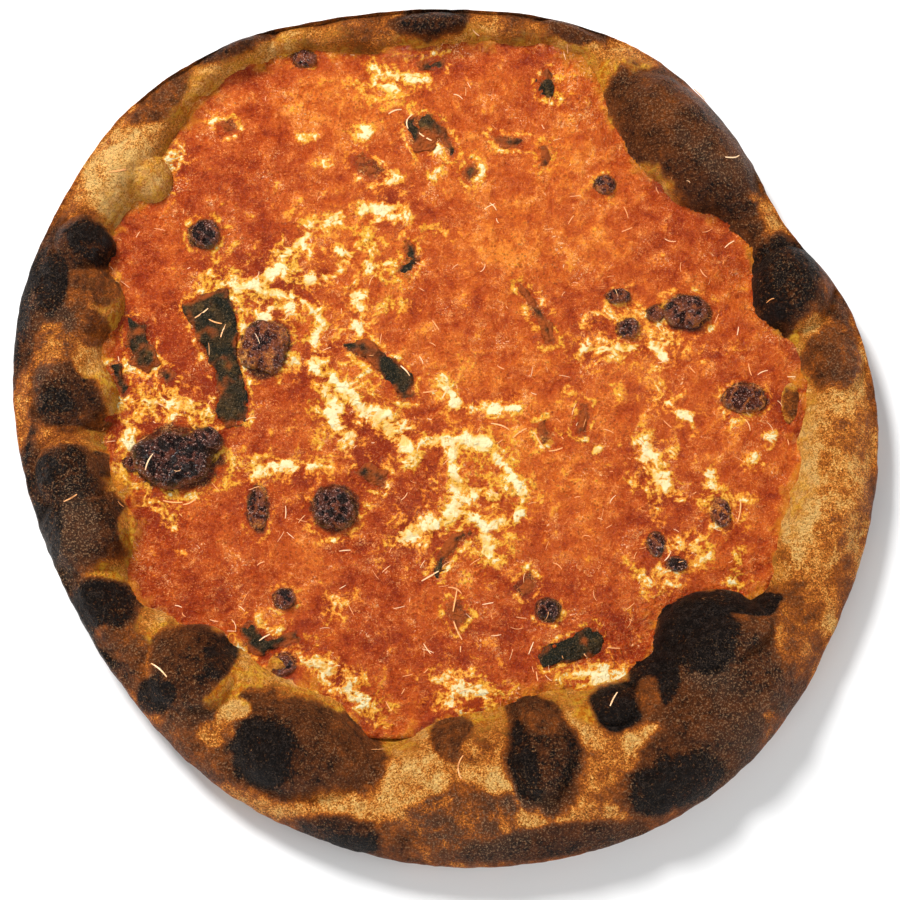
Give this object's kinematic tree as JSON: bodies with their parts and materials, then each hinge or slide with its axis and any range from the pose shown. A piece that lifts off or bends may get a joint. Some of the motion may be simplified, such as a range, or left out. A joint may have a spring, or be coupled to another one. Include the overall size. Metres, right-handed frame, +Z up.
{
  "type": "vodka pizza",
  "caption": "Round vodka pizza with a blistered, charred rim, creamy tomato sauce, melted mozzarella, torn basil and grated hard cheese.",
  "frame": {"origin": "centre of the bounding box on the underside, on the surface the pizza rests on", "axes": "+Z up through the thickness, towards the toppings; +X to the right and +Y away from the viewer as the pizza is shown"},
  "size_m": [0.306, 0.3122, 0.0277],
  "materials": {
    "crust": "baked dough, matte, charred on its bubbles",
    "sauce": "glossy grainy tomato and cream sauce",
    "cheese": "melted, satin",
    "basil": "wilted leaf, dark green and brown"
  },
  "bodies": {
    "root": {"dough": "crust", "sauce": "sauce", "mozzarella_centre": "cheese", "mozzarella_diagonal": "cheese", "mozzarella_diagonal_left": "cheese", "mozzarella_middle": "cheese", "mozzarella_upper_left": "cheese", "mozzarella_upper_middle": "cheese", "mozzarella_upper_right": "cheese", "mozzarella_right": "cheese", "mozzarella_right_outer": "cheese", "mozzarella_left_band": "cheese", "mozzarella_middle_left": "cheese", "mozzarella_lower_left": "cheese", "mozzarella_lower_right": "cheese", "mozzarella_bottom": "cheese", "mozzarella_top": "cheese", "basil_leaf_01": "basil", "basil_leaf_02": "basil", "basil_leaf_03": "basil", "basil_leaf_04": "basil", "basil_leaf_05": "basil", "basil_leaf_06": "basil", "basil_leaf_07": "basil", "basil_leaf_08": "basil", "basil_leaf_09": "basil", "basil_leaf_10": "basil", "basil_leaf_11": "basil", "basil_leaf_12": "basil", "basil_leaf_13": "basil", "basil_leaf_14": "basil", "basil_leaf_15": "basil", "basil_leaf_16": "basil", "basil_leaf_17": "basil", "basil_leaf_18": "basil", "basil_leaf_19": "basil", "basil_leaf_20": "basil", "basil_leaf_21": "basil", "basil_leaf_22": "basil", "basil_leaf_23": "basil"}
  },
  "joints": []
}
